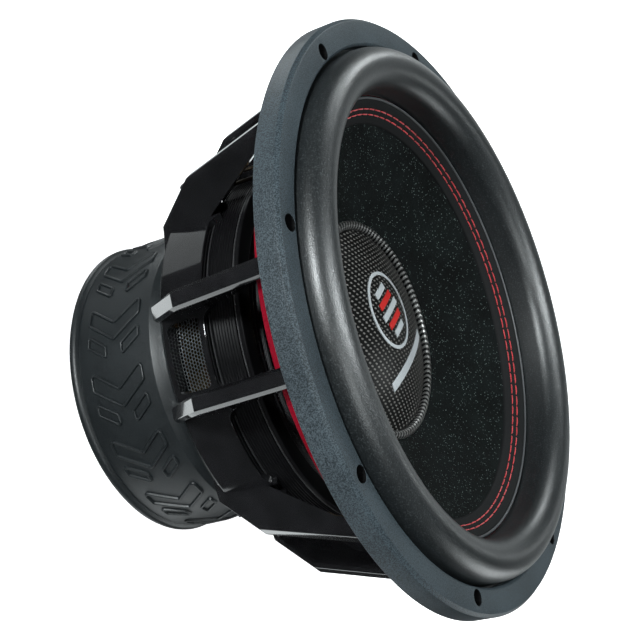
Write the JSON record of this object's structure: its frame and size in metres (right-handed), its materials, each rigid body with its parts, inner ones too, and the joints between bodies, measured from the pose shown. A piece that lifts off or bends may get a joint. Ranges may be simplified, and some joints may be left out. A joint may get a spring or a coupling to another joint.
{
  "type": "subwoofer driver",
  "caption": "Round car subwoofer driver: cast frame with twin arms, soft trim ring with bolt holes, half-roll surround stitched to a shallow cone, weave dust cap and booted magnet.",
  "frame": {"origin": "centre of the magnet boot's rear face", "axes": "+Z along the coil axis towards the cone's front; +X through one mounting hole and the middle of a twin-arm pair"},
  "size_m": [0.3959, 0.396, 0.2455],
  "materials": {
    "bolt_steel": "black oxide",
    "boot_rubber": "fine-grained",
    "button_black": "moulded",
    "button_red": "moulded",
    "cap_carbon": "woven carbon under clear coat",
    "cast_black": "gloss black lacquer on cast aluminium",
    "coil_wire": "enamelled wire",
    "cone_paper": "pressed fibre",
    "copper": "bare",
    "emblem": "satin",
    "ferrite": "ground ferrite",
    "former_film": "film",
    "lead_braid": "braided",
    "mesh_steel": "dark coated mesh",
    "plate_steel": "dark plated",
    "screw_steel": "plated",
    "seat_red": "crimson lacquer",
    "spacer_plastic": "moulded",
    "spider_cloth": "resin-set weave",
    "surround_foam": "soft-touch skin",
    "terminal_plastic": "moulded",
    "thread_red": "twisted thread",
    "trim_rubber": "fine-grained soft trim"
  },
  "bodies": {
    "frame": {"trim_ring": "trim_rubber", "basket": "cast_black", "seat_ring": "seat_red", "vent_mesh": "mesh_steel", "spider_spacer": "spacer_plastic", "spider_clamp": "spacer_plastic", "motor_bolts": "bolt_steel", "top_plate": "plate_steel", "magnet_front": "ferrite", "magnet_rear": "ferrite", "pole_yoke": "plate_steel", "shorting_ring": "copper", "magnet_boot": "boot_rubber", "vent_screen": "mesh_steel", "surround_roll": "surround_foam", "spider_rear": "spider_cloth", "spider_front": "spider_cloth", "terminal_a": "terminal_plastic", "terminal_b": "terminal_plastic", "terminal_screws": "screw_steel", "terminal_tabs": "screw_steel", "lead_wires": "lead_braid"},
    "moving_assembly": {"cone": "cone_paper", "surround_band": "surround_foam", "stitching": "thread_red", "cap_bead": "surround_foam", "dust_cap": "cap_carbon", "cap_emblem": "emblem", "former": "former_film", "voice_coil": "coil_wire"},
    "button_a_red_key": {"button_a_red": "button_red"},
    "button_a_black_key": {"button_a_black": "button_black"},
    "button_b_red_key": {"button_b_red": "button_red"},
    "button_b_black_key": {"button_b_black": "button_black"}
  },
  "joints": [
    {"name": "cone_excursion", "type": "slide", "parent": "frame", "child": "moving_assembly", "axis": [0, 0, 1], "range_m": [-0.02, 0.02], "stiffness_N_per_m": 8000, "deforming": ["surround_roll", "spider_rear", "spider_front"]},
    {"name": "press_a_red", "type": "slide", "parent": "frame", "child": "button_a_red_key", "axis": [1, 0, 0], "range_m": [0, 0.003], "stiffness_N_per_m": 1500, "springref_m": -0.0007},
    {"name": "press_a_black", "type": "slide", "parent": "frame", "child": "button_a_black_key", "axis": [1, 0, 0], "range_m": [0, 0.003], "stiffness_N_per_m": 1500, "springref_m": -0.0007},
    {"name": "press_b_red", "type": "slide", "parent": "frame", "child": "button_b_red_key", "axis": [-1, 0, 0], "range_m": [0, 0.003], "stiffness_N_per_m": 1500, "springref_m": -0.0007},
    {"name": "press_b_black", "type": "slide", "parent": "frame", "child": "button_b_black_key", "axis": [-1, 0, 0], "range_m": [0, 0.003], "stiffness_N_per_m": 1500, "springref_m": -0.0007}
  ]
}
